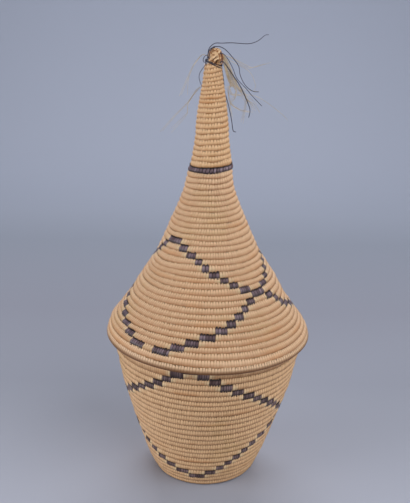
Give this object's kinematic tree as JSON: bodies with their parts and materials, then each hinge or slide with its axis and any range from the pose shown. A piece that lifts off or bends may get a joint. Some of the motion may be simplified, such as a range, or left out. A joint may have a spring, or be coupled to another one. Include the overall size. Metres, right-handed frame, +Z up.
{
  "type": "lidded basket",
  "caption": "Round coiled basket with flared wall and a tall pointed coiled lid with a slender spire, dark stepped zigzags and a fibre tuft; the lid lifts off.",
  "frame": {"origin": "centre of the flat base, on the surface that the basket stands on", "axes": "+Z up along the axis of the basket and its lid, -Y towards the front of the pattern, +X to its right"},
  "size_m": [0.1431, 0.1433, 0.3113],
  "materials": {
    "straw": "satin stitched plant fibre over a bundle of grass",
    "pale_straw": "satin stitched plant fibre, paler",
    "dark_fibre": "matte dyed plant fibre, dark purple-grey",
    "loose_fibre": "matte loose plant fibre"
  },
  "bodies": {
    "basket": {"basket_base": "straw", "basket_wall": "straw", "basket_ledge_round": "straw", "basket_neck_round": "straw", "basket_dark_stitches": "dark_fibre"},
    "lid": {"lid_rim_round": "pale_straw", "lid_cone": "straw", "lid_dark_stitches": "dark_fibre", "lid_dark_ring": "dark_fibre", "lid_spire": "straw", "tip_binding_thread": "dark_fibre", "tip_fibre_tuft": "loose_fibre"}
  },
  "joints": [
    {"name": "lid_lift", "type": "slide", "parent": "basket", "child": "lid", "axis": [0, 0, 1], "range_m": [0, 0.15]}
  ]
}
